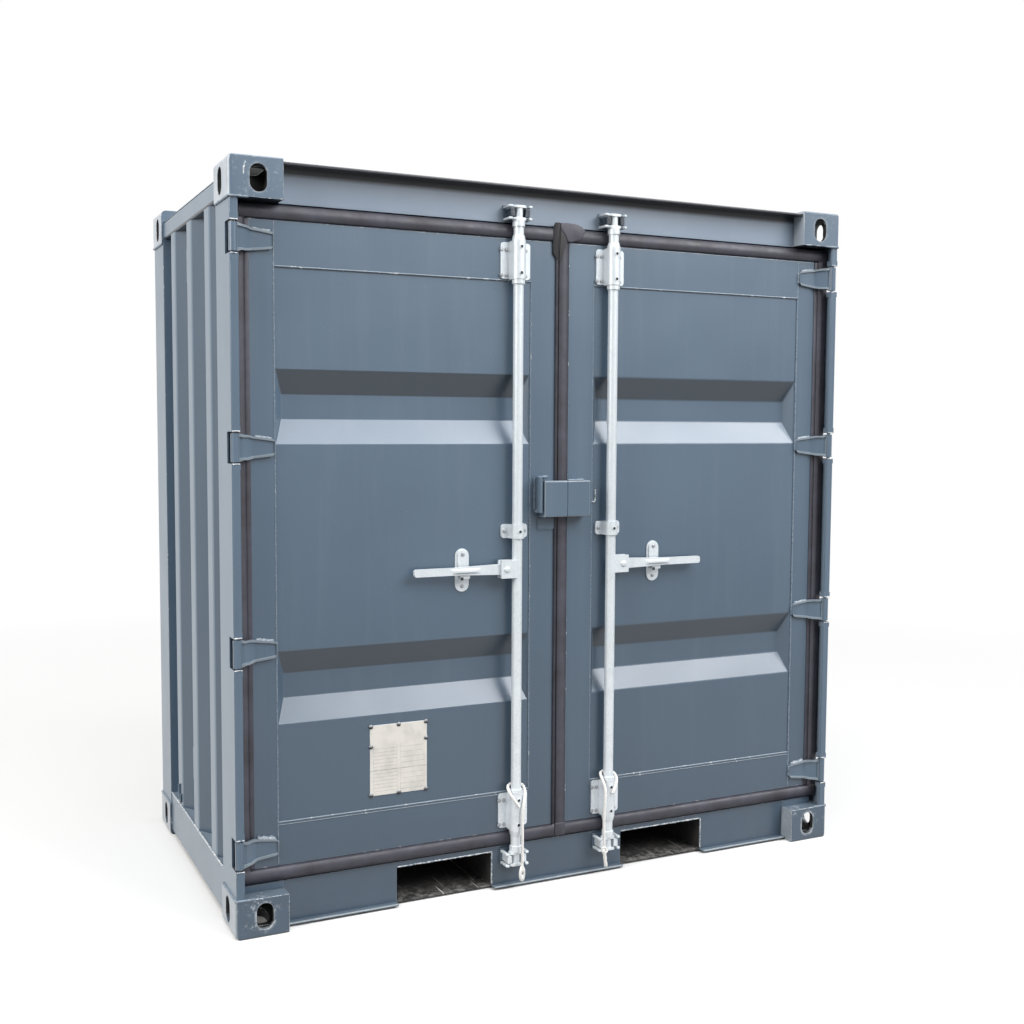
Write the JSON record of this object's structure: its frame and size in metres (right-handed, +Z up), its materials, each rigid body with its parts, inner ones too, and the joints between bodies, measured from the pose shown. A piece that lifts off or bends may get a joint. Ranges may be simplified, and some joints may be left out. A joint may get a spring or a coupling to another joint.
{
  "type": "storage container",
  "caption": "Small steel storage container with hinged double doors, lock rods, corner castings and fork pockets.",
  "frame": {"origin": "on the ground under the middle of the container", "axes": "+X to the right across the door end seen from in front, the doors face -Y, +Z up"},
  "size_m": [2.2, 1.2315, 2.28],
  "materials": {
    "painted_steel": "satin slate blue paint",
    "galvanised_steel": "bright zinc coating",
    "gasket_rubber": "dull black rubber",
    "plywood": "sealed plywood",
    "plate_metal": "matt blank plate",
    "rope_fibre": "twisted white fibre"
  },
  "bodies": {
    "frame": {"front_top_castings": "painted_steel", "rear_top_castings": "painted_steel", "front_bottom_castings": "painted_steel", "rear_bottom_castings": "painted_steel", "left_front_post": "painted_steel", "right_front_post": "painted_steel", "rear_posts": "painted_steel", "hinge_pins": "painted_steel", "top_side_rails": "painted_steel", "bottom_side_rails": "painted_steel", "door_header": "painted_steel", "door_sill": "painted_steel", "rear_top_rail": "painted_steel", "rear_bottom_rail": "painted_steel", "left_side_wall": "painted_steel", "right_side_wall": "painted_steel", "rear_wall": "painted_steel", "roof": "painted_steel", "fork_pockets": "painted_steel", "cross_members": "painted_steel", "cam_keepers": "painted_steel", "side_vents": "painted_steel", "tie_back_hooks": "painted_steel", "plywood_floor": "plywood"},
    "left_door": {"left_door_frame": "painted_steel", "left_door_panel": "painted_steel", "left_door_gasket": "gasket_rubber", "left_door_hinges": "painted_steel", "left_rod_guides": "galvanised_steel", "left_handle_catch": "galvanised_steel", "left_lock_box": "painted_steel", "left_tie_rope": "rope_fibre", "data_plate": "plate_metal"},
    "right_door": {"right_door_frame": "painted_steel", "right_door_panel": "painted_steel", "right_door_gasket": "gasket_rubber", "right_door_hinges": "painted_steel", "right_rod_guides": "galvanised_steel", "right_handle_catch": "galvanised_steel", "right_lock_box": "painted_steel", "right_tie_rope": "rope_fibre"},
    "left_rod": {"left_lock_rod": "galvanised_steel"},
    "right_rod": {"right_lock_rod": "galvanised_steel"},
    "left_grip": {"left_handle": "galvanised_steel"},
    "right_grip": {"right_handle": "galvanised_steel"}
  },
  "joints": [
    {"name": "left_door_swing", "type": "hinge", "parent": "frame", "child": "left_door", "pos_m": [-1.0825, -0.592, 1.1505], "axis": [0, 0, -1], "range_deg": [0, 265]},
    {"name": "left_rod_turn", "type": "hinge", "parent": "left_door", "child": "left_rod", "pos_m": [-0.174, -0.5845, 1.1505], "axis": [0, 0, -1], "range_deg": [-100, 0]},
    {"name": "left_handle_lift", "type": "hinge", "parent": "left_rod", "child": "left_grip", "pos_m": [-0.216, -0.5845, 1.0585], "axis": [0, 1, 0], "range_deg": [0, 15]},
    {"name": "right_door_swing", "type": "hinge", "parent": "frame", "child": "right_door", "pos_m": [1.0825, -0.592, 1.1505], "axis": [0, 0, 1], "range_deg": [0, 265]},
    {"name": "right_rod_turn", "type": "hinge", "parent": "right_door", "child": "right_rod", "pos_m": [0.174, -0.5845, 1.1505], "axis": [0, 0, 1], "range_deg": [-100, 0]},
    {"name": "right_handle_lift", "type": "hinge", "parent": "right_rod", "child": "right_grip", "pos_m": [0.216, -0.5845, 1.0585], "axis": [0, -1, 0], "range_deg": [0, 15]}
  ]
}
